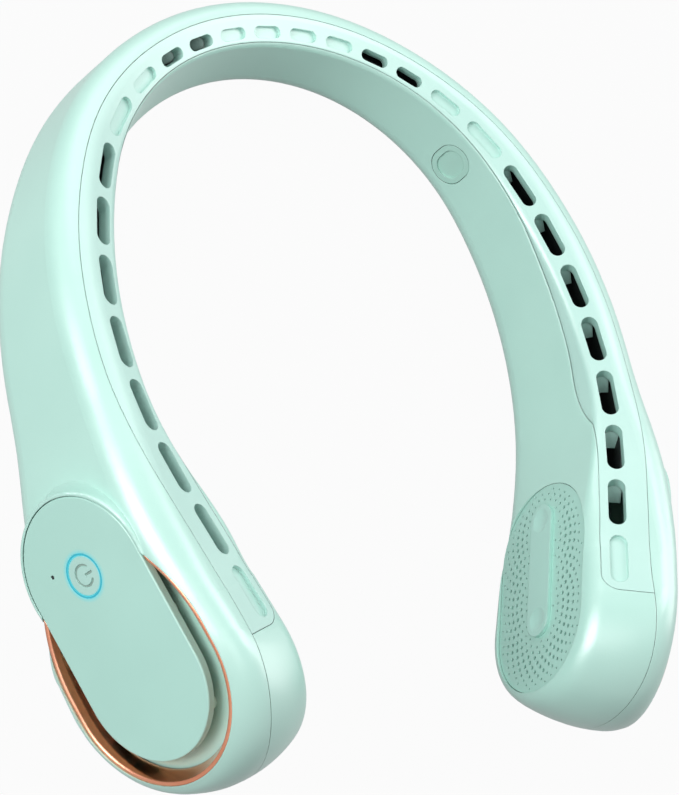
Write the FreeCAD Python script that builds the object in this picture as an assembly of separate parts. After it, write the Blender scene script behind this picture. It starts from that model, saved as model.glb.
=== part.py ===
import FreeCAD, Part
import math
import os

V = FreeCAD.Vector

# Plan of the band, measured along the line of air outlets (mm, degrees)
back_radius = 65.0
back_angle = 68.0
side_radius = 121.5
toe_in = 20.0
back_y = 61.4
outlet_tilt = 4.78
base_tilt = 4.7
outlet_height = 29.8
outlet_slope = 25.0

# Cross section of the band at the back, in the arms and at the pods
inner_back = 4.0
inner_arm = 5.2
inner_pod = 7.0
inner_lean_band = 6.0
inner_lean_pod = 0.5
outer_back = 11.2
outer_arm = 15.4
outer_pod = 23.8
outer_lean_back = 6.0
outer_lean_arm = 11.0
outer_lean_pod = 16.2
low_inner_round = 6.0
low_outer_round = 7.5
crest_round = 7.5
crest_round_pod = 7.5
top_inner_round = 2.6
low_inner_rim = 2.5
low_outer_rim = 2.5
crest_rim = 6.0
top_inner_rim = 8.0
least_round = 0.5
back_scale = 0.72
arm_taper = (30.0, 110.0)
inner_swell = (142.0, 186.0)
outer_swell = (134.0, 180.0)
crest_fill = (130.0, 165.0)
rim_tighten = (172.0, 190.0)
section_step = 9.5
wall = 2.0
seam = 0.12
seat = 0.15
foot_flat = 0.15

# Pods at the two ends of the arms
pod_joint = 190.0
pod_centre_outer = 199.0
pod_centre_inner = 204.4
tip_centre_outer = 198.0
tip_centre_inner = 203.5
tip_bulge = 3.0
face_drop = 1.0
pod_shares = (0.0, 0.009, 0.033, 0.074, 0.133, 0.207, 0.275, 0.36, 0.5, 0.64, 0.72, 0.79, 0.86, 0.92, 0.965,
              0.99, 1.0)
pod_overrun = 12.0
joint_step = 0.03

# Outlet strip with its row of openings
strip_thick = 3.9
strip_end = 201.5
strip_floor = -12.5
strip_inner_back = 2.3
strip_inner_arm = 3.9
strip_outer_back = 4.5
strip_outer_arm = 7.0
seam_flare = 4.0
flare_run = (192.0, 230.0)
strip_corner = 4.0
slot_width_back = 3.1
slot_width_arm = 4.5
slot_pitch_back = 10.9
slot_pitch_arm = 16.0
slot_steps = (12.2, 14.6)
slot_length_back = 7.9
slot_length_arm = 13.0
slot_grow = (38.0, 72.0)
slot_blind = 1.1
open_rows = (2, 3, 6, 7, 8, 9, 10, 11, 12)
vane_thick = 1.1
vane_drop = 6.0
vane_angle = 50.0

# Outer face of a pod: cover plate, air trough and metal ring
plate_radius = 18.1
plate_reach = 27.0
plate_thick = 2.0
plate_edge = 0.4
same_level = 0.000001
trough_radius = 24.0
trough_straight = 4.5
trough_side_radius = 37.0
trough_depth = 5.0
cup_wall = 0.9
boss_rim = 0.9
boss_edge = 0.5
boss_blend = 9.0
boss_depth = 8.4
cup_floor = 1.4
ring_lip = 0.9
ring_foot = 2.6
ring_sink = 0.5
ring_fit = 0.05
ring_rest = 0.6
lead_hole = 1.5
inlet_radius = 11.0
post_radius = 2.0
post_near = (10.3, 10.3)
post_far = (-11.0, 13.5)

# Power button, its light and its circuit board
button_radius = 4.6
button_gap = 0.1
button_flange = 0.5
button_sink = 0.1
sign_radius = 2.45
sign_stroke = 0.6
sign_depth = 0.25
sign_gap = 70.0
sign_start = 0.3
light_fit = 0.05
light_sink = 0.1
light_width = 0.55
light_hole = 0.5
light_at = (-3.6, -8.9)
board_radius = 12.5
board_thick = 0.8
switch_side = 4.5
switch_body = 1.0
switch_nub = 0.25

# Grille on the inner face of a pod
grille_radius = 18.2
grille_reach = 20.0
grille_drop = 0.5
grille_recess = 0.8
grille_thick = 1.6
grille_hole = 0.55
grille_hole_rim = 0.28
grille_spread = 1.16
grille_margin = 1.0
hole_growth = 5.0
hole_count = 742
golden_turn = 137.508
pad_half = 18.3
pad_width = 8.9
pad_back = 4.4
pad_proud = 0.2
pad_dish = 9.0
pad_dish_depth = 0.6

# Fan and motor inside each pod
fan_radius = 15.5
fan_top = 7.4
fan_depth = 9.4
blade_inner = 12.0
blade_count = 27
blade_thick = 0.8
blade_lean = 35.0
blade_bow = 0.2
hub_radius = 9.1
can_radius = 8.5
can_wall = 0.6
can_depth = 7.4
can_top = 8.2
tube_start = 1.6
coil_step = 0.6
coil_run = 2.0
coil_start = 0.8
core_wall = 1.0
tooth_width = 1.4
tooth_start = 0.2
disc_thick = 0.9
shaft_end = 0.3
magnet_thick = 1.0
stator_radius = 6.4
stator_teeth = 6
bearing_radius = 2.2
bearing_end = 1.0
shaft_radius = 1.0
shaft_clear = 0.03
tube_radius = 3.2
housing_radius = 18.5
housing_wall = 1.2
housing_floor = 17.4
bracket_radius = 13.6
bracket_thick = 1.4
screw_radius = 0.8
screw_head = 1.5
screw_head_high = 0.9

# Air channels, cells and wiring inside the band
channel_gap = 0.3
channel_wall = 1.0
channel_floor = 1.1
channel_wide_arm = 11.5
channel_wide_back = 9.6
channel_round = 4.0
channel_arm = (72.0, 168.0)
channel_back = 46.0
cell_radius = 5.0
cell_length = 42.0
cell_nub = 1.0
cell_station = 112.0
cell_offset = 4.3
lead_radius = 0.8
lead_offset = -1.6
lead_level = -20.6
lead_end = 172.0

# Charging socket and its cover on the right inner wall
port_station = 64.0
port_share = 0.56
cover_high = 12.4
cover_wide = 10.2
cover_thick = 1.3
port_high = 9.6
port_wide = 4.0
socket_high = 8.94
socket_wide = 3.26
socket_deep = 7.3
socket_skin = 0.35
cover_rim = 1.6
cover_dish = 0.5
tongue_reach = 3.5
tongue_play = 0.8
charge_board_side = 14.0
charge_board_thick = 1.0


def smooth(x, span):
    t = min(max((x - span[0]) / (span[1] - span[0]), 0.0), 1.0)
    return t * t * (3 - 2 * t)


def mix(a, b, w):
    return a + (b - a) * w


def tan(angle):
    return math.tan(math.radians(angle))


def polar(r, angle, z=0.0):
    return V(r * math.cos(math.radians(angle)), r * math.sin(math.radians(angle)), z)


def on_circle(cx, cy, r, turn):
    g = math.radians(turn)
    return cx + r * math.sin(g), cy + r * math.cos(g)


back_run = back_radius * math.radians(back_angle)
side_run = back_run + side_radius * math.radians(90.0 + toe_in - back_angle)
back_cy = back_y - back_radius
side_cx, side_cy = on_circle(0.0, back_cy, back_radius - side_radius, back_angle)
arm_x, arm_y = on_circle(side_cx, side_cy, side_radius, 90.0 + toe_in)


def path(s):
    """Plan point and outward direction at distance s from the middle of the back."""
    side = 1.0 if s >= 0 else -1.0
    s = abs(s)
    if s <= back_run:
        turn = math.degrees(s / back_radius)
        x, y = on_circle(0.0, back_cy, back_radius, turn)
    elif s <= side_run:
        turn = back_angle + math.degrees((s - back_run) / side_radius)
        x, y = on_circle(side_cx, side_cy, side_radius, turn)
    else:
        turn = 90.0 + toe_in
        x = arm_x + math.cos(math.radians(turn)) * (s - side_run)
        y = arm_y - math.sin(math.radians(turn)) * (s - side_run)
    g = math.radians(turn)
    return x * side, y, math.sin(g) * side, math.cos(g)


def station(s, n, z):
    x, y, nx, ny = path(s)
    return V(x + n * nx, y + n * ny, z)


def along(s):
    """Plan direction of the band at s, pointing to the tip of that arm."""
    x, y, nx, ny = path(s)
    side = 1.0 if s >= 0 else -1.0
    return V(ny * side, -nx * side, 0)


def outlet_level(y):
    return -tan(outlet_tilt) * y


def base_level(y):
    return -outlet_height + tan(base_tilt) * y


def arm_share(s):
    return smooth(abs(s), arm_taper)


def top_slope(s):
    return outlet_slope - outlet_tilt * path(s)[3]


def crossing(p, d, q, e):
    k = ((q[0] - p[0]) * e[1] - (q[1] - p[1]) * e[0]) / (d[0] * e[1] - d[1] * e[0])
    return p[0] + k * d[0], p[1] + k * d[1]


def corners(s, inset=0.0, floor=None, widest=outer_pod):
    """Corners (n, z) and corner radii of the band at s, inset all round."""
    x, y, nx, ny = path(s)
    r = abs(s)
    arm = arm_share(s)
    swell_in = smooth(r, inner_swell)
    swell_out = smooth(r, outer_swell)
    a = mix(mix(inner_back, inner_arm, arm), inner_pod, swell_in)
    b = min(mix(mix(outer_back, outer_arm, arm), outer_pod, swell_out), widest)
    lean_in = mix(inner_lean_band, inner_lean_pod, swell_in)
    lean_out = mix(mix(outer_lean_back, outer_lean_arm, arm), outer_lean_pod, swell_out)
    top = outlet_level(y)
    low = base_level(y)
    mid = (top + low) / 2
    low_angle = base_tilt * ny
    most_round = crest_round_pod
    if floor is not None:
        low = mid + floor
        low_angle = 0.0
        most_round = channel_round
    angles = (low_angle, 90 + lean_out, 180 + top_slope(s), 270 - lean_in)
    points = ((0.0, low), (b, mid), (0.0, top), (-a, mid))
    lines = []
    for (px, pz), ang in zip(points, angles):
        d = (math.cos(math.radians(ang)), math.sin(math.radians(ang)))
        lines.append(((px - inset * d[1], pz + inset * d[0]), d))
    pts = [crossing(*lines[i - 1], *lines[i]) for i in range(4)]
    scale = mix(back_scale, 1.0, arm)
    tight = smooth(r, rim_tighten)
    crest = mix(crest_round * scale, crest_round_pod, smooth(r, crest_fill))
    radii = (mix(low_inner_round * scale, low_inner_rim, tight),
             mix(low_outer_round * scale, low_outer_rim, tight),
             mix(crest, crest_rim, tight), mix(top_inner_round * scale, top_inner_rim, tight))
    return pts, [max(min(q, most_round) - inset, least_round) for q in radii]


def round_corner(s, before, p, after, r):
    u = V(before[0] - p[0], before[1] - p[1], 0).normalize()
    w = V(after[0] - p[0], after[1] - p[1], 0).normalize()
    half = u.getAngle(w) / 2
    run = r / math.tan(half)
    near = r / math.sin(half) - r
    m = (u + w).normalize()
    corner = V(p[0], p[1], 0)
    spots = (corner + u * run, corner + m * near, corner + w * run)
    return [station(s, q.x, q.y) for q in spots]


def ring(s, inset=0.0, floor=None, widest=outer_pod):
    """Closed outline of the band at s: four straight sides and four round corners."""
    pts, radii = corners(s, inset, floor, widest)
    ends = []
    for i in range(4):
        ends.append(round_corner(s, pts[i - 1], pts[i], pts[(i + 1) % 4], radii[i]))
    edges = []
    for i in range(4):
        edges.append(Part.Arc(*ends[i]).toShape())
        edges.append(Part.makeLine(ends[i][2], ends[(i + 1) % 4][0]))
    return Part.Wire(edges)


def loft(first, last, inset, floor=None, widest=outer_pod):
    count = max(int(abs(last - first) / section_step), 3)
    wires = []
    for i in range(count + 1):
        wires.append(ring(first + (last - first) * i / count, inset, floor, widest))
    return Part.makeLoft(wires, True, False)


def opening_angle(pts, i):
    """Inside angle of the band's section at one corner, in degrees."""
    p, q, r = pts[i - 1], pts[i], pts[(i + 1) % 4]
    return math.degrees(V(p[0] - q[0], p[1] - q[1], 0).getAngle(V(r[0] - q[0], r[1] - q[1], 0)))


def rim_inset(r, angle, depth):
    """How far a rim of radius r keeps back from its corner line at a depth below the face."""
    if depth >= r * (1 + math.cos(math.radians(angle))):
        return 0.0
    return r / tan(angle / 2) - depth / tan(angle) - math.sqrt(depth * (2 * r - depth))


class TipEnd:
    """Round end of a pod in a plane between its outer face (share 0) and its inner face (share 1)."""

    def __init__(self, side, share, centre, inset, low_keep=0.0, high_keep=0.0):
        rows = []
        for s in (pod_joint, centre):
            pts, radii = corners(side * s, inset)
            low = [mix(a, b, share) for a, b in zip(pts[1], pts[0])]
            high = [mix(a, b, share) for a, b in zip(pts[2], pts[3])]
            low, high = station(side * s, *low), station(side * s, *high)
            up = (high - low).normalize()
            rows.append((low + up * low_keep, high - up * high_keep))
        low_dir = (rows[1][0] - rows[0][0]).normalize()
        high_dir = (rows[1][1] - rows[0][1]).normalize()
        low_p, high_p = rows[1]
        self.up = (high_p - low_p).normalize()
        across = self.up.cross(low_dir).normalize()
        low_in = across.cross(low_dir)
        low_in = low_in * math.copysign(1.0, low_in.dot(self.up))
        high_in = across.cross(high_dir)
        high_in = high_in * -math.copysign(1.0, high_in.dot(self.up))
        self.r = (high_p - low_p).Length / (1.0 / low_in.dot(self.up) - 1.0 / high_in.dot(self.up))
        self.mid = low_p + self.up * (self.r / low_in.dot(self.up))
        self.tip = across.cross(self.up)
        self.tip = self.tip * math.copysign(1.0, self.tip.dot(low_dir))
        t_low = self.mid - low_in * self.r
        t_high = self.mid - high_in * self.r
        low_back = rows[0][0] - low_dir * pod_overrun
        high_back = rows[0][1] - high_dir * pod_overrun
        arc = Part.Arc(t_low, self.mid + self.tip * self.r, t_high).toShape()
        self.wire = Part.Wire([Part.makeLine(low_back, t_low), arc, Part.makeLine(t_high, high_back),
                               Part.makeLine(high_back, low_back)])

    def placement(self):
        out = self.tip.cross(self.up)
        return FreeCAD.Placement(self.mid, FreeCAD.Rotation(self.tip, self.up, out, "XYZ"))


def pod(side, inset=0.0):
    """End of one arm: outlines from its outer face to its inner face, round rims and a full tip."""
    pts, radii = corners(side * pod_joint, inset)
    angles = [opening_angle(pts, i) for i in range(4)]
    long_top = math.dist(pts[2], pts[3])
    long_low = math.dist(pts[1], pts[0])
    runs = (long_low, long_low, long_top, long_top)
    deep = [run * math.sin(math.radians(a)) for run, a in zip(runs, angles)]
    wires = []
    for share in pod_shares:
        ways = (1 - share, share, share, 1 - share)
        keep = [rim_inset(r, a, d * w) for r, a, d, w in zip(radii, angles, deep, ways)]
        centre = mix(tip_centre_outer, tip_centre_inner, share) + 4 * tip_bulge * share * (1 - share)
        wires.append(TipEnd(side, share, centre, inset, keep[0] + keep[1], keep[2] + keep[3]).wire)
    body = Part.makeLoft(wires, True, False)
    x, y, nx, ny = path(side * pod_joint)
    size = 4 * pod_joint
    box = Part.makeBox(size, size, size, V(-size / 2, 0, -size / 2))
    box.Placement = FreeCAD.Placement(V(x, y, 0), FreeCAD.Rotation(V(0, 1, 0), along(side * pod_joint)))
    return body.common(box)


def band(inset=0.0):
    left = pod(-1, inset)
    right = pod(1, inset)
    arm = loft(-pod_joint, pod_joint, inset + joint_step)
    return arm.fuse([left, right])


def plan_curve(offset, last, shift=0.0):
    """Curve in plan beside the outlet line, offset(s) outward from it."""
    count = 2 * int(last / section_step)
    pts = []
    for i in range(count + 1):
        s = -last + 2 * last * i / count
        pts.append(station(s, offset(s) + shift, 0.0))
    curve = Part.BSplineCurve()
    curve.interpolate(pts)
    return curve.toShape()


def strip_outer(s):
    return mix(strip_outer_back, strip_outer_arm, arm_share(s)) + seam_flare * smooth(abs(s), flare_run)


def strip_inner(s):
    return -mix(strip_inner_back, strip_inner_arm, arm_share(s))


def inside_region(shift):
    """Everything on the neck side of the seam between the two casing shells."""
    last = pod_centre_inner + 2 * trough_radius
    edge = plan_curve(strip_outer, last, shift)
    right = edge.Vertexes[-1].Point
    left = edge.Vertexes[0].Point
    front = V(0, 3 * min(left.y, right.y), 0)
    face = Part.Face(Part.Wire([edge, Part.makeLine(right, front), Part.makeLine(front, left)]))
    deep = 4 * outlet_height
    face.translate(V(0, 0, -deep))
    return face.extrude(V(0, 0, 2 * deep))


def strip_region(grow):
    """Upright block over the outlet strip, with its round inner corners."""
    last = strip_end + grow
    outer = plan_curve(strip_outer, last, grow)
    inner = plan_curve(strip_inner, last, -grow)
    ends = []
    for i in (0, -1):
        ends.append(Part.makeLine(outer.Vertexes[i].Point, inner.Vertexes[i].Point))
    face = Part.Face(Part.Wire([outer, ends[1], inner, ends[0]]))
    face.translate(V(0, 0, strip_floor))
    block = face.extrude(V(0, 0, 2 * outlet_height))
    upright = []
    for e in block.Edges:
        low, high = e.Vertexes[0].Point, e.Vertexes[-1].Point
        rises = abs(low.z - high.z) > outlet_height
        away = min(math.hypot(low.x - v.X, low.y - v.Y) for v in inner.Vertexes)
        if rises and away < seam:
            upright.append(e)
    return block.makeFillet(strip_corner + grow, upright)


def slot_rows():
    """Stations of the outlets on one side, from the back to the pod."""
    rows = [slot_pitch_back * (k + 0.5) for k in range(4)]
    for gap in slot_steps:
        rows.append(rows[-1] + gap)
    for k in range(8):
        rows.append(rows[-1] + slot_pitch_arm)
    return rows


def slot_frame(s):
    """Frame on the strip at s: along the band, across the strip, out of the strip."""
    x, y, nx, ny = path(s)
    t = along(s)
    t = V(t.x, t.y, -tan(outlet_tilt) * t.y).normalize()
    c = V(nx, ny, tan(top_slope(s)))
    w = t.cross(c).normalize()
    w = w * math.copysign(1.0, w.z)
    return FreeCAD.Placement(V(x, y, outlet_level(y)), FreeCAD.Rotation(t, w.cross(t), w, "XZY"))


def put(shape, frame):
    moved = shape.copy()
    moved.Placement = frame.multiply(moved.Placement)
    return moved


def other(shape):
    return shape.mirror(V(0, 0, 0), V(1, 0, 0))


def obround(length, width, z=0.0):
    """Closed outline with two round ends, its length along X."""
    r = width / 2
    h = length / 2 - r
    return Part.Wire([Part.makeLine(V(-h, -r, z), V(h, -r, z)),
                      Part.Arc(V(h, -r, z), V(h + r, 0, z), V(h, r, z)).toShape(),
                      Part.makeLine(V(h, r, z), V(-h, r, z)),
                      Part.Arc(V(-h, r, z), V(-h - r, 0, z), V(-h, -r, z)).toShape()])


def prism(wires, z0, z1):
    face = Part.Face(wires)
    face.translate(V(0, 0, z0))
    return face.extrude(V(0, 0, z1 - z0))


def post(r, u, v, top, bottom):
    """Round bar along the local Z axis, given by its depths below the face."""
    return Part.makeCylinder(r, bottom - top, V(u, v, -bottom))


def tube(r, bore, u, v, top, bottom):
    return post(r, u, v, top, bottom).cut(post(bore, u, v, top, bottom))


def outlets():
    """Cutters for all outlets and the air vanes that hang under the open ones."""
    cutters = []
    vanes = []
    for side in (-1, 1):
        for k, s in enumerate(slot_rows()):
            share = arm_share(s)
            length = mix(slot_length_back, slot_length_arm, smooth(s, slot_grow))
            width = mix(slot_width_back, slot_width_arm, share)
            is_open = k in open_rows
            depth = 2 * strip_thick if is_open else slot_blind
            frame = slot_frame(side * s)
            cutters.append(put(prism(obround(length, width), -depth, strip_thick), frame))
            if is_open:
                plate = Part.makeBox(vane_drop, width, vane_thick, V(0, -width / 2, -vane_thick))
                plate.rotate(V(0, 0, 0), V(0, 1, 0), vane_angle)
                plate.translate(V(-length / 2 - vane_thick, 0, vane_thick - strip_thick))
                vanes.append(put(plate, frame))
    return cutters, vanes


def make_strip(body, low_body):
    blank = body.common(strip_region(0.0)).cut(low_body)
    cutters, vanes = outlets()
    return blank.cut(cutters).fuse(vanes)


def trough_wire(g):
    """Outline of the air trough in the outer face, grown by g."""
    r = trough_radius + g
    cv = trough_radius - trough_side_radius
    rs = trough_side_radius + g
    u1 = -trough_straight
    u2 = -plate_reach
    turn = math.asin((u1 - u2) / rs)
    v2 = cv + rs * math.cos(turn)
    um = u1 - rs * math.sin(turn / 2)
    vm = cv + rs * math.cos(turn / 2)
    return Part.Wire([Part.Arc(V(u2, v2, 0), V(um, vm, 0), V(u1, r, 0)).toShape(),
                      Part.makeLine(V(u1, r, 0), V(0, r, 0)),
                      Part.Arc(V(0, r, 0), V(r, 0, 0), V(0, -r, 0)).toShape(),
                      Part.makeLine(V(0, -r, 0), V(u1, -r, 0)),
                      Part.Arc(V(u1, -r, 0), V(um, -vm, 0), V(u2, -v2, 0)).toShape(),
                      Part.makeLine(V(u2, -v2, 0), V(u2, v2, 0))])


def post_spots():
    spots = []
    for u, v in (post_near, post_far):
        spots.append((u, v))
        spots.append((u, -v))
    return spots


def trough_cup():
    """Floor and side wall of the air trough, joined to the outer shell."""
    deep = trough_depth + cup_floor
    cup = prism(trough_wire(cup_wall), -deep, -wall / 2)
    return cup.fuse(post(plate_radius + seat + cup_wall, -plate_reach, 0, wall / 2, deep))


def plate_boss():
    """Raised shoulder round the inner end of the cover plate, with a hollow blend below it."""
    r = plate_radius + seat + boss_rim
    turn = math.asin((boss_depth - boss_edge) / boss_blend)
    middle = r + boss_blend
    blend = [V(middle - boss_blend * math.cos(a), 0, -boss_edge - boss_blend * math.sin(a))
             for a in (0, turn / 2, turn)]
    bow = boss_edge * math.sin(math.pi / 4)
    rim = [V(r - boss_edge, 0, 0), V(r - boss_edge + bow, 0, bow - boss_edge), blend[0]]
    foot = V(0, 0, -boss_depth)
    half = Part.Wire([Part.makeLine(V(0, 0, 0), rim[0]), Part.Arc(*rim).toShape(),
                      Part.Arc(*blend).toShape(), Part.makeLine(blend[2], foot),
                      Part.makeLine(foot, V(0, 0, 0))])
    boss = Part.Face(half).revolve(V(0, 0, 0), V(0, 0, 1), 360)
    boss.translate(V(-plate_reach, 0, 0))
    return boss


def trough_cutters():
    deep = trough_depth + cup_floor
    tools = [prism(trough_wire(0.0), -trough_depth, deep)]
    tools.append(post(plate_radius + seat, -plate_reach, 0, -deep, trough_depth))
    tools.append(post(inlet_radius, 0, 0, 0, 2 * deep))
    for u, v in post_spots():
        tools.append(post(screw_radius + seat, u, v, 0, 2 * deep))
        tools.append(post(screw_head + seat, u, v, deep - screw_head_high, 2 * deep))
    tools.append(post(lead_hole, -plate_reach - board_radius / 2, board_radius / 2, 0, 2 * deep))
    return tools


def plate_prism(grow, below, above):
    """Outline of the cover plate grown by grow, as a solid through the face."""
    r = plate_radius + grow
    solid = prism(obround(plate_reach + 2 * r, 2 * r), -below, above)
    solid.translate(V(-plate_reach / 2, 0, 0))
    return solid


def cover_plate():
    """Plate over the trough, on four posts that take the plate screws."""
    blank = plate_prism(0.0, plate_thick, 0.0)
    top = [e for e in blank.Edges if all(abs(v.Z) < same_level for v in e.Vertexes)]
    blank = blank.makeFillet(plate_edge, top)
    legs = [post(post_radius, u, v, plate_thick, trough_depth) for u, v in post_spots()]
    bores = [post(screw_radius, u, v, plate_thick, trough_depth) for u, v in post_spots()]
    return blank.fuse(legs).cut(bores)


def button_plate():
    plate = cover_plate()
    hole = post(button_radius + button_gap + light_width, -plate_reach, 0, -1, plate_thick)
    pin = post(light_hole, light_at[0] - plate_reach, light_at[1], -1, plate_thick)
    return plate.cut([hole, pin])


def intake_ring():
    """Metal ring round the trough: thin lip at the face, sloping in to a thick foot."""
    foot = trough_depth - ring_rest
    blank = prism(trough_wire(-ring_fit), -foot, -ring_sink)
    mouth = trough_wire(-ring_lip)
    mouth.translate(V(0, 0, -ring_sink))
    base = trough_wire(-ring_foot)
    base.translate(V(0, 0, -foot))
    opening = Part.makeLoft([mouth, base], True, True)
    return blank.cut([opening, plate_prism(seat, trough_depth, trough_depth)])


def power_button():
    top = post(button_radius, -plate_reach, 0, button_sink, plate_thick + button_gap)
    flange = post(button_radius + light_width, -plate_reach, 0, plate_thick + button_gap,
                  plate_thick + button_gap + button_flange)
    return top.fuse(flange).cut(power_sign())


def power_sign():
    """Groove of the power sign: an open ring and a bar through its gap, pointing up the wall."""
    low = button_sink + sign_depth
    half = sign_stroke / 2
    base = V(-plate_reach, 0, -low)
    ring_cut = Part.makeCylinder(sign_radius + half, low, base, V(0, 0, 1), 360.0 - sign_gap)
    ring_cut.rotate(base, V(0, 0, 1), 90.0 + sign_gap / 2)
    core = Part.makeCylinder(sign_radius - half, low, base)
    bar = Part.makeBox(sign_stroke, sign_radius + half - sign_start, low, base + V(-half, sign_start, 0))
    return ring_cut.cut(core).fuse(bar)


def light_ring():
    inner = button_radius + button_gap
    return tube(inner + light_width, inner, -plate_reach, 0, 0.0, plate_thick)


def control_board():
    top = trough_depth - board_thick
    board = post(board_radius, -plate_reach, 0, top, trough_depth)
    notch = post(lead_hole, -plate_reach - board_radius / 2, board_radius / 2, top, trough_depth)
    return board.cut(notch)


def press_switch():
    base = trough_depth - board_thick
    body = Part.makeBox(switch_side, switch_side, switch_body)
    body.translate(V(-plate_reach - switch_side / 2, -switch_side / 2, -base))
    nub = post(switch_side / 4, -plate_reach, 0, base - switch_body - switch_nub, base - switch_body)
    return body.fuse(nub)


def status_light():
    u = light_at[0] - plate_reach
    base = trough_depth - board_thick
    lamp = Part.makeBox(3 * light_hole, 2 * light_hole, light_hole)
    lamp.translate(V(u - 1.5 * light_hole, light_at[1] - light_hole, -base))
    return lamp.fuse(post(light_hole - light_fit, u, light_at[1], light_sink, base - light_hole))


def screw(u, v, head_bottom, length):
    """Screw pointing out of the pod, its head at the inner end."""
    head = post(screw_head, u, v, head_bottom - screw_head_high, head_bottom)
    shank = post(screw_radius, u, v, head_bottom - screw_head_high - length, head_bottom - screw_head_high)
    slot = Part.makeBox(2 * screw_head, screw_radius / 2, screw_radius / 2)
    slot.translate(V(u - screw_head, v - screw_radius / 4, -head_bottom))
    return head.fuse(shank).cut(slot)


def plate_screws():
    deep = trough_depth + cup_floor
    length = deep - screw_head_high - plate_thick - seat
    return [screw(u, v, deep, length) for u, v in post_spots()]


def stadium_holes():
    """Holes of the grille, set out on a sunflower spiral, largest half way out."""
    wires = []
    for k in range(hole_count):
        r = grille_spread * math.sqrt(k + 0.5)
        spot = polar(r, k * golden_turn) - V(pad_back, 0, 0)
        across = max(abs(spot.x) - grille_reach / 2, 0.0)
        edge = grille_radius - math.hypot(across, spot.y)
        pad_x = max(abs(spot.x + pad_back) - (pad_half - pad_width / 2), 0.0)
        pad = math.hypot(pad_x, spot.y) - pad_width / 2
        room = min(edge, pad) - grille_margin
        if room > 0:
            size = mix(grille_hole_rim, grille_hole, smooth(room, (0.0, hole_growth)))
            wires.append(Part.Wire(Part.makeCircle(size, spot)))
    return wires


def face_frame():
    """Frame of the cover plate on the left pod's outer face: to the tip, up the face, outward."""
    end = TipEnd(-1, 0.0, pod_centre_outer, 0.0)
    return end.placement().multiply(FreeCAD.Placement(V(0, -face_drop, 0), FreeCAD.Rotation()))


def grille_frame():
    end = TipEnd(-1, 1.0, pod_centre_inner, 0.0)
    place = V(-grille_reach / 2, -grille_drop, 0)
    return end.placement().multiply(FreeCAD.Placement(place, FreeCAD.Rotation()))


def grille_outline(grow):
    return obround(grille_reach + 2 * (grille_radius + grow), 2 * (grille_radius + grow))


def intake_grille():
    return prism([grille_outline(0.0)] + stadium_holes(), grille_recess, grille_recess + grille_thick)


def rest_pad():
    """Bar across the grille with a dished end at each end."""
    pad = prism(obround(2 * pad_half, pad_width), -pad_proud, grille_recess)
    dips = []
    for end in (-1, 1):
        dip = Part.makeSphere(pad_dish)
        dip.translate(V(end * (pad_half - pad_width / 2), 0, pad_dish_depth - pad_proud - pad_dish))
        dips.append(dip)
    pad = pad.cut(dips)
    pad.translate(V(-pad_back, 0, 0))
    return pad


def blade(k):
    """One curved blade of the fan, between two arcs."""
    turn = 360.0 / blade_count
    a = k * turn
    lean = blade_lean / 2
    bow = lean * blade_bow
    half_way = (blade_inner + fan_radius) / 2
    thin = math.degrees(blade_thick / fan_radius)
    front = Part.Arc(polar(blade_inner, a), polar(half_way, a + bow), polar(fan_radius, a + lean)).toShape()
    back = Part.Arc(polar(fan_radius, a + lean + thin), polar(half_way, a + bow + thin),
                    polar(blade_inner, a + thin)).toShape()
    p = front.Vertexes[-1].Point
    q = back.Vertexes[0].Point
    ends = [Part.makeLine(p, q), Part.makeLine(back.Vertexes[-1].Point, front.Vertexes[0].Point)]
    return prism(Part.Wire([front, ends[0], back, ends[1]]), -fan_top - fan_depth, -fan_top)


def impeller():
    """Double-entry drum fan: hub, carrying disc, blades and two shrouds."""
    low = fan_top + fan_depth
    middle = fan_top + fan_depth / 2
    disc = tube(fan_radius, can_radius, 0, 0, middle - disc_thick / 2, middle + disc_thick / 2)
    hub = tube(hub_radius, can_radius, 0, 0, can_top, can_top + can_depth)
    rims = [tube(fan_radius, fan_radius - blade_thick, 0, 0, fan_top, fan_top + disc_thick),
            tube(fan_radius, fan_radius - blade_thick, 0, 0, low - disc_thick, low)]
    return disc.fuse([hub] + rims + [blade(k) for k in range(blade_count)])


def rotor_can():
    shell = post(can_radius, 0, 0, can_top, can_top + can_depth)
    hollow = post(can_radius - can_wall - magnet_thick, 0, 0, can_top + can_wall, can_top + can_depth)
    return shell.cut([hollow, post(shaft_radius, 0, 0, can_top, can_top + can_wall)])


def motor_shaft():
    return post(shaft_radius, 0, 0, can_top, housing_floor - shaft_end)


def motor_bracket():
    """Three-armed plate over the inner inlet with the bearing tube of the motor."""
    low = housing_floor + housing_wall
    top = low - bracket_thick
    rim = tube(bracket_radius, inlet_radius, 0, 0, low, low + bracket_thick)
    boss = post(tube_radius + bracket_thick, 0, 0, low - bracket_thick, low + bracket_thick)
    arms = []
    for k in range(3):
        bar = Part.makeBox(inlet_radius + housing_wall, 2 * bracket_thick, bracket_thick)
        bar.translate(V(0, -bracket_thick, -low - bracket_thick))
        bar.rotate(V(0, 0, 0), V(0, 0, 1), 120.0 * k)
        arms.append(bar)
    sleeve = post(tube_radius, 0, 0, can_top + tube_start, low)
    bore = post(bearing_radius, 0, 0, can_top + tube_start, low)
    holes = [post(screw_radius, p.x, p.y, top, low + bracket_thick) for p in bracket_spots()]
    return rim.fuse([boss, sleeve] + arms).cut([bore] + holes)


def bracket_spots():
    r = (bracket_radius + inlet_radius) / 2
    return [polar(r, 60.0 + 120.0 * k) for k in range(3)]


def motor_screws():
    low = housing_floor + housing_wall + bracket_thick
    length = bracket_thick + housing_wall - seat
    return [screw(p.x, p.y, low + screw_head_high, length) for p in bracket_spots()]


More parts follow.
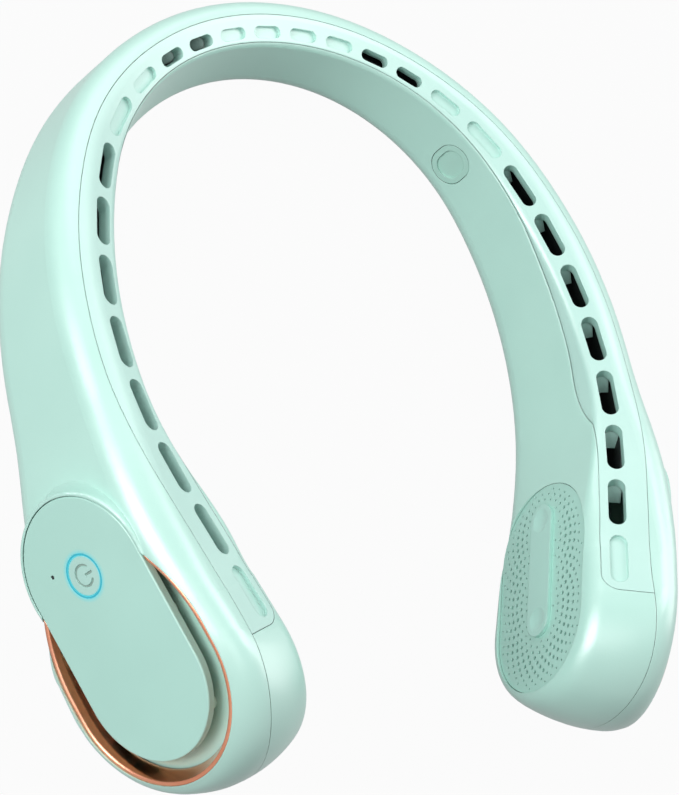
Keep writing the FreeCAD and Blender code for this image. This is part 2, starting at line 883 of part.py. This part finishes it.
def stator():
    """Six-tooth iron core with a wound coil on every tooth."""
    top = can_top + tube_start + coil_step
    low = can_top + can_depth - coil_step
    core = tube(tube_radius + core_wall, tube_radius, 0, 0, top, low)
    parts = []
    for k in range(stator_teeth):
        tooth = Part.makeBox(stator_radius - tube_radius, tooth_width, low - top - 2 * coil_step)
        tooth.translate(V(tube_radius + tooth_start, -tooth_width / 2, -low + coil_step))
        coil = Part.makeBox(coil_run, 2 * tooth_width, low - top)
        coil.translate(V(tube_radius + coil_start, -tooth_width, -low))
        piece = tooth.fuse(coil)
        piece.rotate(V(0, 0, 0), V(0, 0, 1), 360.0 / stator_teeth * k)
        parts.append(piece)
    return core.fuse(parts)


def bearing():
    bore = shaft_radius + shaft_clear
    return tube(bearing_radius, bore, 0, 0, can_top + tube_start, housing_floor - bearing_end)


def fan_housing():
    """Scroll round the fan: side wall with an outlet to the arm, and a floor with the inner inlet."""
    top = trough_depth + cup_floor
    low = housing_floor + housing_wall
    side = tube(housing_radius, housing_radius - housing_wall, 0, 0, top, low)
    floor = tube(housing_radius, inlet_radius, 0, 0, housing_floor, low)
    mouth = Part.makeBox(2 * housing_radius, housing_radius - 2 * housing_wall, housing_floor - top)
    mouth.translate(V(-2 * housing_radius, 2 * housing_wall, -housing_floor))
    holes = [post(screw_radius, p.x, p.y, housing_floor, low) for p in bracket_spots()]
    return side.cut(mouth).fuse(floor).cut(holes)


def air_channel(first, last, wide, gap_block):
    """Open channel under the outlet strip between two stations."""
    skin = wall + channel_gap
    outer = loft(first, last, skin, channel_floor - skin, wide)
    bare = skin + channel_wall
    inner = loft(first - channel_wall, last + channel_wall, bare, channel_floor - skin, wide)
    return outer.cut([inner, gap_block])


def cell(side):
    s = side * cell_station
    y = path(s)[1]
    t = along(s)
    t = V(t.x, t.y, tan(base_tilt) * t.y).normalize()
    level = base_level(y) + wall + cell_radius + seat
    start = station(s, cell_offset, level) - t * (cell_length / 2)
    can = Part.makeCylinder(cell_radius, cell_length - cell_nub, start, t)
    nub = Part.makeCylinder(cell_radius / 3, cell_nub, start + t * (cell_length - cell_nub), t)
    return can.fuse(nub)


def motor_lead():
    """Pair of motor wires along the band: straight runs and tangent arcs."""
    edges = []
    stops = (-lead_end, -side_run, -back_run, back_run, side_run, lead_end)
    for a, b in zip(stops, stops[1:]):
        p = station(a, lead_offset, lead_level)
        m = station((a + b) / 2, lead_offset, lead_level)
        q = station(b, lead_offset, lead_level)
        straight = min(abs(a), abs(b)) >= side_run
        edges.append(Part.makeLine(p, q) if straight else Part.Arc(p, m, q).toShape())
    spine = Part.Wire(edges)
    start = station(-lead_end, lead_offset, lead_level)
    section = Part.Wire(Part.makeCircle(lead_radius, start, along(-lead_end)))
    return spine.makePipeShell([section], True, False)


def port_frame():
    """Frame on the right inner wall at the socket: up the wall, along the band, into the casing."""
    pts = corners(port_station)[0]
    low, high = station(port_station, *pts[0]), station(port_station, *pts[3])
    up = (high - low).normalize()
    t = along(port_station)
    return FreeCAD.Placement(low + (high - low) * port_share, FreeCAD.Rotation(up, t, up.cross(t), "XYZ"))


def charge_cover():
    """Soft plug: a flush face with a finger dish and a tongue that enters the socket."""
    face = prism(obround(cover_high, cover_wide), 0.0, cover_thick)
    dish = prism(obround(cover_high - 2 * cover_rim, cover_wide - 2 * cover_rim), 0.0, cover_dish)
    less = 2 * socket_skin + tongue_play
    tongue = prism(obround(socket_high - less, socket_wide - less), cover_thick, wall + tongue_reach)
    return face.cut(dish).fuse(tongue)


def charge_socket():
    shell = prism(obround(socket_high, socket_wide), wall, wall + socket_deep)
    mouth = prism(obround(socket_high - 2 * socket_skin, socket_wide - 2 * socket_skin), wall,
                  wall + socket_deep - socket_skin)
    return shell.cut(mouth)


def charge_board():
    side = charge_board_side
    board = Part.makeBox(side, side, charge_board_thick)
    board.translate(V(-side / 2, -side / 2, wall + socket_deep))
    return board


def export(name, shape):
    shape = shape if isinstance(shape, Part.Shape) else Part.makeCompound(shape)
    shape = shape.copy()
    shape.rotate(V(0, 0, 0), V(1, 0, 0), -base_tilt)
    shape.translate(shift)
    shape.exportStep("parts/" + name + ".step")


os.makedirs("parts", exist_ok=True)

body = band(0.0)
hollow = band(wall)
low_body = body.copy()
low_body.translate(V(0, 0, -strip_thick))

stood = body.copy()
stood.rotate(V(0, 0, 0), V(1, 0, 0), -base_tilt)
box = stood.optimalBoundingBox(False)
shift = V(0, -(box.YMin + box.YMax) / 2, -box.ZMin - foot_flat)
under = Part.makeBox(4 * pod_joint, 4 * pod_joint, outlet_height)
under.translate(V(-2 * pod_joint, -2 * pod_joint, box.ZMin + foot_flat - outlet_height))
under.rotate(V(0, 0, 0), V(1, 0, 0), base_tilt)

outer_frame = face_frame()
inner_frame = grille_frame()
port = port_frame()

shell = body.cut([hollow, under])
gap_block = strip_region(seam).cut(low_body)
middle = band(wall / 2)
cups = [put(trough_cup(), outer_frame).common(middle), put(plate_boss(), outer_frame).cut([middle, under])]
cups = cups + [other(c) for c in cups]
cuts = [put(t, outer_frame) for t in trough_cutters()]
cuts = cuts + [other(t) for t in cuts]
outer_shell = shell.cut([inside_region(seam / 2), gap_block]).fuse(cups).cut(cuts)
grille_hole_cut = put(prism(grille_outline(seat), -wall, 2 * wall), inner_frame)
port_cuts = [put(prism(obround(cover_high + 2 * seat, cover_wide + 2 * seat), -wall, cover_thick), port),
             put(prism(obround(port_high, port_wide), -wall, 2 * wall), port)]
inner_cuts = [gap_block, grille_hole_cut, other(grille_hole_cut)] + port_cuts
inner_shell = shell.common(inside_region(-seam / 2)).cut(inner_cuts)
export("outer_shell", outer_shell)
export("inner_shell", inner_shell)
export("outlet_strip", make_strip(body, low_body))

plain = put(cover_plate(), outer_frame)
export("left_cover_plate", put(button_plate(), outer_frame))
export("right_cover_plate", other(plain))
export("button_light", put(light_ring(), outer_frame))
export("power_button", put(power_button(), outer_frame))
export("control_board", put(control_board(), outer_frame))
export("press_switch", put(press_switch(), outer_frame))
export("status_light", put(status_light(), outer_frame))

pairs = (("intake_ring", intake_ring(), outer_frame), ("grille", intake_grille(), inner_frame),
         ("rest_pad", rest_pad(), inner_frame), ("impeller", impeller(), outer_frame),
         ("rotor", rotor_can(), outer_frame), ("shaft", motor_shaft(), outer_frame),
         ("motor_bracket", motor_bracket(), outer_frame), ("stator", stator(), outer_frame),
         ("bearing", bearing(), outer_frame), ("fan_housing", fan_housing(), outer_frame))
for name, shape, frame in pairs:
    made = put(shape, frame)
    export("left_" + name, made)
    export("right_" + name, other(made))

for name, screws in (("plate_screws", plate_screws()), ("motor_screws", motor_screws())):
    left = [put(s, outer_frame) for s in screws]
    export(name, left + [other(s) for s in left])

under_strip = body.copy()
under_strip.translate(V(0, 0, -strip_thick - channel_gap))
channel_cut = strip_region(channel_gap).cut(under_strip)
arm_channel = air_channel(channel_arm[0], channel_arm[1], channel_wide_arm, channel_cut)
export("right_air_channel", arm_channel)
export("left_air_channel", other(arm_channel))
export("back_air_channel", air_channel(-channel_back, channel_back, channel_wide_back, channel_cut))
export("left_cell", cell(-1))
export("right_cell", cell(1))
export("motor_lead", motor_lead())
export("charge_cover", put(charge_cover(), port))
export("charge_socket", put(charge_socket(), port))
export("charge_board", put(charge_board(), port))
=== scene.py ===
"""Neck fan: finishes, small trim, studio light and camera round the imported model."""
import math

import bmesh
import bpy
from mathutils import Euler, Matrix, Vector


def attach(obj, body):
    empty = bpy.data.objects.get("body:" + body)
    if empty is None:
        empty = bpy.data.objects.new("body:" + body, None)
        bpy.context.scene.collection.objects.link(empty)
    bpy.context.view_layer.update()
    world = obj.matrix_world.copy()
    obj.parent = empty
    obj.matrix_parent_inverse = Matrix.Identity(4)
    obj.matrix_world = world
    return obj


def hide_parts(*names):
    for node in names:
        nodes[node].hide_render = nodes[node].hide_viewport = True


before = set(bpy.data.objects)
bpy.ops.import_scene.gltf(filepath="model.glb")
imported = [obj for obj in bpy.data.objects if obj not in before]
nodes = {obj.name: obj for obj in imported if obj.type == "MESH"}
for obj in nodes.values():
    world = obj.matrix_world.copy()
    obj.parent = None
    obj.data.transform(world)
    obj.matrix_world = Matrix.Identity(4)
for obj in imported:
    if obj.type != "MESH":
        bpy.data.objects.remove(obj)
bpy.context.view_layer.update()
scene = bpy.context.scene
scene.view_settings.view_transform = "Standard"

MM = 0.001
WHITE = (1.0, 1.0, 1.0, 1.0)
UNLIT = (0.0, 0.0, 0.0, 1.0)

# Left pod, outer face: middle of the power button and the face's own directions
BUTTON = Vector((-81.5194, -50.6468, 23.6875)) * MM
FACE_OUT = Vector((-0.902444, -0.304303, 0.304951))
FACE_TIP = Vector((0.341854, -0.936589, 0.077053))
FACE_UP = Vector((0.262166, 0.173785, 0.949246))
FACE = Matrix((FACE_TIP, FACE_UP, FACE_OUT)).transposed().to_4x4()
FACE.translation = BUTTON

# Middle line of the lit ring round the button
LIT_RING = 4.975 * MM

# Power sign on the button: an open ring and a bar through its gap
SIGN_RADIUS = 2.45 * MM
SIGN_STROKE = 0.46 * MM
SIGN_GAP = math.radians(74.0)
SIGN_START = 0.36 * MM
SIGN_LOW = -0.34 * MM
SIGN_THICK = 0.06 * MM
SIGN_STEPS = 48

# Grille holes: width of the rounded rim and the angles that tell flat faces from rims
RIM_WIDTH = 0.28 * MM
RIM_STEPS = 2
FLAT_ANGLE = math.radians(2.0)
RIM_ANGLE = math.radians(60.0)
SAME_POINT = 0.001 * MM

# Moulded plastic: flow marks and spark-eroded specks, in waves per metre, and its satin gloss
FLOW_WAVES = 38.0
SPECK_WAVES = 2600.0
SPECK_DEPTH = 0.012 * MM
SATIN_IOR = 1.6
SATIN_GLOSS = {"Specular_IOR_Level": 1.0, "Coat_Weight": 0.5, "Coat_Roughness": 0.3}

# Studio: floor, white surround and softboxes, each with its place, its sides and its power
FLOOR_HALF = 4.0
FLOOR_WHITE = 0.96
FLOOR_GLOSS = 0.6
SURROUND_LIGHT = 0.22
LAMP_AIM = Vector((0.0, 0.0, 0.02))
LAMPS = {
    "right_softbox": ((0.730, 0.0, 0.345), (0.50, 0.50), 1.7),
    "left_softbox": ((-0.70, 0.05, 0.38), (0.45, 0.45), 4.4),
    "back_softbox": ((0.0, 0.678, 0.444), (0.80, 0.45), 1.8),
    "front_softbox": ((-0.325, -0.188, 0.726), (0.40, 0.40), 0.7),
    "crest_softbox": ((0.44, 0.21, 0.72), (0.45, 0.45), 2.4),
}

# Camera above the open end, to the left
EYE_PLACE = (-0.253117, -0.121197, 0.397602)
EYE_TURN = (20.0063, -30.3561, -11.7042)
EYE_LENS = 84.61
EYE_SENSOR = 36.0
EYE_NEAR = 0.01


class Sock:
    """A node's output that takes part in Python arithmetic."""

    def __init__(self, maker, out):
        self.maker = maker
        self.out = out

    def sum(self, operation, first, second):
        return self.maker.node("ShaderNodeMath", {"operation": operation}, {0: first, 1: second})

    def __add__(self, x):
        return self.sum("ADD", self, x)

    def __sub__(self, x):
        return self.sum("SUBTRACT", self, x)

    def __rsub__(self, x):
        return self.sum("SUBTRACT", x, self)

    def __mul__(self, x):
        return self.sum("MULTIPLY", self, x)

    __radd__ = __add__
    __rmul__ = __mul__


class Nodes:
    """A node tree written as expressions on its sockets."""

    def __init__(self, tree, output):
        self.tree = tree
        tree.nodes.clear()
        self.output = tree.nodes.new(output)

    def node(self, kind, settings=None, inputs=None, take=0):
        made = self.tree.nodes.new(kind)
        for key, value in (settings or {}).items():
            setattr(made, key, value)
        for key, value in (inputs or {}).items():
            if isinstance(value, Sock):
                self.tree.links.new(value.out, made.inputs[key])
            else:
                made.inputs[key].default_value = value
        return Sock(self, made.outputs[take])

    def ray(self, kind):
        """1 for rays of that kind, else 0."""
        return self.node("ShaderNodeLightPath", take="Is " + kind + " Ray")

    def larger(self, first, second):
        return self.node("ShaderNodeMath", {"operation": "MAXIMUM"}, {0: first, 1: second})

    def show(self, shader):
        self.tree.links.new(shader.out, self.output.inputs["Surface"])


class Finish(Nodes):
    """One procedural material."""

    def __init__(self, name):
        self.material = bpy.data.materials.new(name)
        self.material.use_nodes = True
        super().__init__(self.material.node_tree, "ShaderNodeOutputMaterial")
        self.place = self.node("ShaderNodeTexCoord", take="Object")

    def noise(self, scale, detail=2.0, stretch=(1.0, 1.0, 1.0)):
        place = self.node("ShaderNodeMapping", {}, {"Vector": self.place, "Scale": stretch})
        return self.node("ShaderNodeTexNoise", {}, {"Vector": place, "Scale": scale, "Detail": detail})

    def ramp(self, value, low, high, start=0.0, end=1.0):
        limits = {"From Min": low, "From Max": high, "To Min": start, "To Max": end}
        return self.node("ShaderNodeMapRange", {"interpolation_type": "SMOOTHSTEP"}, {"Value": value, **limits})

    def mix(self, share, first, second):
        return self.node("ShaderNodeMix", {"data_type": "RGBA"}, {0: share, 6: first, 7: second}, take=2)

    def away(self, point):
        """Distance from a point of the object, in metres."""
        centred = self.node("ShaderNodeMapping", {"vector_type": "TEXTURE"},
                            {"Vector": self.place, "Location": point})
        return self.node("ShaderNodeVectorMath", {"operation": "LENGTH"}, {0: centred}, take="Value")

    def off_lit_ring(self):
        """Distance from the middle line of the lit ring, in metres."""
        return self.node("ShaderNodeMath", {"operation": "ABSOLUTE"}, {0: self.away(BUTTON) - LIT_RING})

    def openness(self, reach):
        """Share of the sky that a point sees within reach: 1 in the open, 0 deep in a slot."""
        return self.node("ShaderNodeAmbientOcclusion", {"samples": 8}, {"Distance": reach}, take="AO")

    def relief(self, height, depth, edge=0.0):
        """Surface normal from a height, with moulded edges rounded by edge."""
        values = {"Height": height, "Strength": 1.0, "Distance": depth}
        if edge:
            values["Normal"] = self.node("ShaderNodeBevel", {"samples": 6}, {"Radius": edge})
        return self.node("ShaderNodeBump", {}, values)

    def moulded(self, light, dark, rough):
        """Colour, roughness and specks that every moulded plastic here shares."""
        flow = self.noise(FLOW_WAVES, 3.0)
        speck = self.noise(SPECK_WAVES, 1.0)
        colour = self.mix(self.ramp(flow, 0.3, 0.7), dark, light)
        dullness = self.ramp(flow + speck * 0.4, 0.4, 1.0, rough - 0.03, rough + 0.05)
        return colour, dullness, speck

    def surface(self, **sockets):
        values = {key.replace("_", " "): value for key, value in sockets.items()}
        self.show(self.node("ShaderNodeBsdfPrincipled", {}, values))
        return self.material


def rgb(red, green, blue):
    """Colour written in screen values from 0 to 255."""
    parts = []
    for value in (red, green, blue):
        c = value / 255
        parts.append(c / 12.92 if c <= 0.04045 else ((c + 0.055) / 1.055) ** 2.4)
    return (*parts, 1.0)


def satin_plastic(name, light, dark, rough=0.36, edge=0.35 * MM, grain=SPECK_DEPTH, recess_shade=None, reach=6.0 * MM,
                  shut=(0.13, 0.27)):
    """Moulded satin plastic: faint flow mottle, fine grain, soft edges and, where asked, painted shade in its
    recesses.
    """
    f = Finish(name)
    colour, dullness, speck = f.moulded(light, dark, rough)
    if recess_shade:
        # Painted shade: the colour darkens towards the recess colour where little open sky is seen within reach
        colour = f.mix(f.ramp(f.openness(reach), *shut), recess_shade, colour)
    return f.surface(Base_Color=colour, Roughness=dullness, Normal=f.relief(speck, grain, edge), IOR=SATIN_IOR,
                     **SATIN_GLOSS)


def glow_plastic(name, light, dark, glow, reach, rough=0.42, edge=0.2 * MM):
    """Satin plastic beside the lit ring, tinted by the light that leaks out of it."""
    f = Finish(name)
    colour, dullness, speck = f.moulded(light, dark, rough)
    halo = f.ramp(f.off_lit_ring(), 0.2 * MM, reach, 0.6, 0.0)
    lit = f.mix(halo * halo * 0.2, UNLIT, glow)
    return f.surface(Base_Color=f.mix(halo, colour, glow), Roughness=dullness,
                     Normal=f.relief(speck, SPECK_DEPTH, edge), Emission_Color=lit, Emission_Strength=1.0,
                     **SATIN_GLOSS)


def plated_metal(name, light, dark, rough, streak=0.05, edge=0.15 * MM):
    """Plated metal: bright, with faint polishing streaks and slow tarnish."""
    f = Finish(name)
    tarnish = f.noise(60.0, 3.0)
    polish = f.noise(900.0, 2.0, stretch=(1.0, 1.0, 0.12))
    colour = f.mix(f.ramp(tarnish, 0.3, 0.75), light, dark)
    return f.surface(Base_Color=colour, Metallic=1.0, Roughness=f.ramp(polish, 0.3, 0.7, rough, rough + streak),
                     Normal=f.relief(polish, 0.004 * MM, edge))


def dark_plastic(name, light, dark, rough=0.5):
    """Plain inner plastic with a coarse mottle and a matt grain."""
    f = Finish(name)
    flow = f.noise(120.0, 3.0)
    speck = f.noise(1800.0, 2.0)
    return f.surface(Base_Color=f.mix(f.ramp(flow, 0.3, 0.7), dark, light),
                     Roughness=f.ramp(speck, 0.3, 0.7, rough - 0.06, rough + 0.06),
                     Normal=f.relief(speck, 0.02 * MM))


def lit_ring(name, middle, side):
    """Clear ring over the lamp: deep colour along its middle line, paler at its sides."""
    f = Finish(name)
    wave = f.noise(500.0, 1.0)
    core = f.ramp(f.off_lit_ring(), 0.06 * MM, 0.24 * MM, 1.0, 0.0)
    colour = f.mix(core * f.ramp(wave, 0.2, 0.8, 0.7, 1.0), side, middle)
    return f.surface(Base_Color=f.mix(core, (0.02, 0.10, 0.12, 1.0), (0.01, 0.05, 0.06, 1.0)),
                     Roughness=f.ramp(wave, 0.3, 0.7, 0.25, 0.35), Emission_Color=colour, Emission_Strength=1.0)


def printed_board(name):
    """Circuit board: solder mask over faint copper runs."""
    f = Finish(name)
    cells = f.node("ShaderNodeTexVoronoi", {"feature": "DISTANCE_TO_EDGE"}, {"Vector": f.place, "Scale": 420.0})
    runs = f.ramp(cells, 0.06, 0.1, 1.0, 0.0)
    grain = f.noise(900.0, 2.0)
    colour = f.mix(runs, (0.012, 0.09, 0.04, 1.0), (0.03, 0.17, 0.07, 1.0))
    return f.surface(Base_Color=colour, Roughness=f.ramp(grain, 0.3, 0.7, 0.28, 0.4),
                     Normal=f.relief(runs, 0.03 * MM))


def wound_copper(name):
    """Enamelled wire: close turns with dark gaps."""
    f = Finish(name)
    turns = f.node("ShaderNodeTexWave", {"bands_direction": "DIAGONAL"},
                   {"Vector": f.place, "Scale": 900.0, "Distortion": 0.6})
    colour = f.mix(turns, (0.13, 0.035, 0.012, 1.0), (0.62, 0.24, 0.09, 1.0))
    return f.surface(Base_Color=colour, Metallic=0.8, Roughness=f.ramp(turns, 0.2, 0.8, 0.45, 0.28),
                     Normal=f.relief(turns, 0.05 * MM))


def film_wrap(name):
    """Shrink film of a cell: smooth, with faint crinkles."""
    f = Finish(name)
    crinkle = f.noise(260.0, 4.0, stretch=(1.0, 0.3, 1.0))
    colour = f.mix(f.ramp(crinkle, 0.35, 0.7), (0.03, 0.075, 0.22, 1.0), (0.05, 0.12, 0.32, 1.0))
    return f.surface(Base_Color=colour, Roughness=f.ramp(crinkle, 0.3, 0.7, 0.22, 0.36),
                     Normal=f.relief(crinkle, 0.06 * MM))


# Casing: painted shade, dark green, in its seams, in the trough under the plate and on its undersides
MINT = satin_plastic("mint_casing", rgb(186, 230, 218), rgb(182, 227, 215), recess_shade=rgb(24, 40, 36),
                     shut=(0.14, 0.42))
# Outlet strip: painted shade, near black, deep in its slots
MINT_STRIP = satin_plastic("mint_strip", rgb(189, 230, 220), rgb(185, 227, 217), recess_shade=rgb(6, 14, 12),
                           reach=24.0 * MM, shut=(0.07, 0.16))
# Grille: painted shade, darker green, in its holes
MINT_GRILLE = satin_plastic("mint_grille", rgb(170, 219, 206), rgb(165, 214, 201), rough=0.46, edge=0.15 * MM,
                            recess_shade=rgb(84, 122, 112), reach=8.0 * MM)
MINT_PAD = satin_plastic("mint_pad", rgb(176, 224, 212), rgb(172, 220, 208), rough=0.38)
MINT_PLUG = satin_plastic("mint_plug", rgb(174, 219, 206), rgb(169, 214, 201), rough=0.55, edge=0.25 * MM,
                          grain=0.03 * MM)
MINT_PLATE = glow_plastic("mint_plate", rgb(179, 225, 213), rgb(175, 221, 209), rgb(96, 214, 224), 1.4 * MM)
MINT_BUTTON = glow_plastic("mint_button", rgb(180, 222, 212), rgb(175, 217, 207), rgb(96, 214, 224), 0.9 * MM)
ROSE = plated_metal("rose_plating", rgb(248, 178, 146), rgb(240, 158, 124), rough=0.1, edge=0.7 * MM)
STEEL = plated_metal("plated_steel", (0.62, 0.63, 0.65, 1.0), (0.45, 0.46, 0.48, 1.0), rough=0.26)
BRONZE = plated_metal("sintered_bronze", (0.55, 0.36, 0.16, 1.0), (0.36, 0.22, 0.09, 1.0), rough=0.38,
                      streak=0.12)
CYAN = lit_ring("lit_cyan", rgb(34, 156, 178), rgb(72, 194, 206))
LAMP = dark_plastic("lamp_window", (0.02, 0.03, 0.03, 1.0), (0.012, 0.018, 0.018, 1.0), rough=0.3)
BLACK = dark_plastic("black_duct", (0.012, 0.016, 0.015, 1.0), (0.006, 0.009, 0.009, 1.0), rough=0.6)
GRAPHITE = dark_plastic("graphite_frame", (0.03, 0.033, 0.034, 1.0), (0.018, 0.02, 0.021, 1.0))
FAN_GREY = dark_plastic("fan_grey", (0.055, 0.06, 0.062, 1.0), (0.035, 0.04, 0.042, 1.0), rough=0.42)
SWITCH = dark_plastic("switch_black", (0.02, 0.02, 0.022, 1.0), (0.012, 0.012, 0.013, 1.0), rough=0.35)
LEAD = dark_plastic("lead_sleeve", (0.025, 0.025, 0.026, 1.0), (0.014, 0.014, 0.015, 1.0), rough=0.55)
PAINT = satin_plastic("sign_paint", rgb(132, 162, 152), rgb(126, 156, 146), rough=0.5, edge=0.0)
BOARD = printed_board("circuit_board")
COPPER = wound_copper("wound_copper")
FILM = film_wrap("cell_film")

FINISHES = {
    "outer_shell": MINT, "inner_shell": MINT, "outlet_strip": MINT_STRIP, "cover_plate": MINT_PLATE,
    "intake_ring": ROSE, "power_button": MINT_BUTTON, "button_light": CYAN, "status_light": LAMP,
    "grille": MINT_GRILLE, "rest_pad": MINT_PAD, "charge_cover": MINT_PLUG, "impeller": FAN_GREY,
    "rotor": STEEL, "shaft": STEEL, "bearing": BRONZE, "stator": COPPER, "motor_bracket": GRAPHITE,
    "fan_housing": GRAPHITE, "air_channel": BLACK, "control_board": BOARD, "charge_board": BOARD,
    "press_switch": SWITCH, "cell": FILM, "motor_lead": LEAD, "charge_socket": STEEL, "plate_screws": STEEL,
    "motor_screws": STEEL,
}


def dress():
    """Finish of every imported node, by its name without its side."""
    for name, node in nodes.items():
        kind = name
        for side in ("left_", "right_", "back_"):
            kind = kind.removeprefix(side)
        if node.material_slots:
            node.material_slots[0].material = FINISHES[kind]
        else:
            node.data.materials.append(FINISHES[kind])


def mesh_object(name, bm, material):
    mesh = bpy.data.meshes.new(name)
    bm.to_mesh(mesh)
    bm.free()
    mesh.materials.append(material)
    made = bpy.data.objects.new(name, mesh)
    scene.collection.objects.link(made)
    return made


def piece(name, bm, material, body):
    """Finished mesh on a moving body."""
    bmesh.ops.recalc_face_normals(bm, faces=bm.faces)
    made = mesh_object(name, bm, material)
    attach(made, body)
    return made


def grille(name):
    """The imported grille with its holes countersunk, as moulded holes are."""
    bm = bmesh.new()
    bm.from_mesh(nodes[name].data)
    bmesh.ops.remove_doubles(bm, verts=bm.verts, dist=SAME_POINT)
    bmesh.ops.dissolve_limit(bm, angle_limit=FLAT_ANGLE, verts=bm.verts, edges=bm.edges)
    rims = [e for e in bm.edges if e.is_manifold and e.calc_face_angle() > RIM_ANGLE]
    bmesh.ops.bevel(bm, geom=rims, offset=RIM_WIDTH, offset_type="OFFSET", segments=RIM_STEPS, profile=0.5,
                    affect="EDGES", clamp_overlap=True, material=-1)
    made = piece(name + "_face", bm, MINT_GRILLE, "casing")
    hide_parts(name)


def power_sign():
    """Grey paint in the button's groove."""
    bm = bmesh.new()
    ends = [bm.verts.new((SIGN_RADIUS + side * SIGN_STROKE / 2, 0.0, 0.0)) for side in (-1, 1)]
    edge = bm.edges.new(ends)
    start = Matrix.Rotation(math.pi / 2 + SIGN_GAP / 2, 3, "Z")
    bmesh.ops.rotate(bm, verts=bm.verts, matrix=start)
    bmesh.ops.spin(bm, geom=[*ends, edge], axis=(0, 0, 1), angle=2 * math.pi - SIGN_GAP, steps=SIGN_STEPS)
    bar = bmesh.ops.create_grid(bm, x_segments=1, y_segments=1, size=0.5)["verts"]
    long = SIGN_RADIUS + SIGN_STROKE / 2 - SIGN_START
    bmesh.ops.scale(bm, verts=bar, vec=(SIGN_STROKE, long, 1.0))
    bmesh.ops.translate(bm, verts=bar, vec=(0.0, SIGN_START + long / 2, 0.0))
    bmesh.ops.solidify(bm, geom=bm.faces, thickness=SIGN_THICK)
    bmesh.ops.translate(bm, verts=bm.verts, vec=(0.0, 0.0, SIGN_LOW))
    bmesh.ops.transform(bm, matrix=FACE, verts=bm.verts)
    piece("power_sign", bm, PAINT, "button")


def pale_floor():
    """Floor that shows white to the eye and in metal, and takes the object's shadow."""
    f = Finish("pale_floor")
    seen = f.larger(f.ray("Camera"), f.ray("Glossy") * FLOOR_GLOSS)
    cloud = f.noise(3.0, 2.0)
    grey = f.mix(cloud, (0.13, 0.14, 0.14, 1.0), (0.16, 0.17, 0.17, 1.0))
    matt = f.node("ShaderNodeBsdfDiffuse", {}, {"Color": grey})
    white = f.node("ShaderNodeEmission", {}, {"Color": WHITE, "Strength": 1.0})
    f.show(f.node("ShaderNodeMixShader", {}, {0: seen * FLOOR_WHITE, 1: matt, 2: white}))
    bm = bmesh.new()
    bmesh.ops.create_grid(bm, x_segments=1, y_segments=1, size=FLOOR_HALF)
    mesh_object("studio_floor", bm, f.material)


def white_surround():
    """Soft light from all sides that shows as plain white."""
    world = bpy.data.worlds.new("white_studio")
    world.use_nodes = True
    scene.world = world
    w = Nodes(world.node_tree, "ShaderNodeOutputWorld")
    seen = w.larger(w.ray("Camera"), w.larger(w.ray("Glossy"), w.ray("Transmission")))
    soft = w.node("ShaderNodeBackground", {}, {"Color": WHITE, "Strength": SURROUND_LIGHT})
    plain = w.node("ShaderNodeBackground", {}, {"Color": WHITE, "Strength": 1.0})
    w.show(w.node("ShaderNodeMixShader", {}, {0: seen, 1: soft, 2: plain}))


def softbox(name, place, sides, power):
    data = bpy.data.lights.new(name, "AREA")
    data.shape = "RECTANGLE"
    data.size, data.size_y = sides
    data.energy = power
    light = bpy.data.objects.new(name, data)
    light.location = place
    light.rotation_euler = (LAMP_AIM - Vector(place)).to_track_quat("-Z", "Y").to_euler()
    scene.collection.objects.link(light)


def camera():
    data = bpy.data.cameras.new("view")
    data.sensor_width = EYE_SENSOR
    data.lens = EYE_LENS
    data.clip_start = EYE_NEAR
    eye = bpy.data.objects.new("view", data)
    eye.location = EYE_PLACE
    eye.rotation_euler = Euler([math.radians(turn) for turn in EYE_TURN])
    scene.collection.objects.link(eye)
    scene.camera = eye


dress()
power_sign()
for side in ("left", "right"):
    grille(side + "_grille")
pale_floor()
white_surround()
for name, (place, sides, power) in LAMPS.items():
    softbox(name, place, sides, power)
camera()
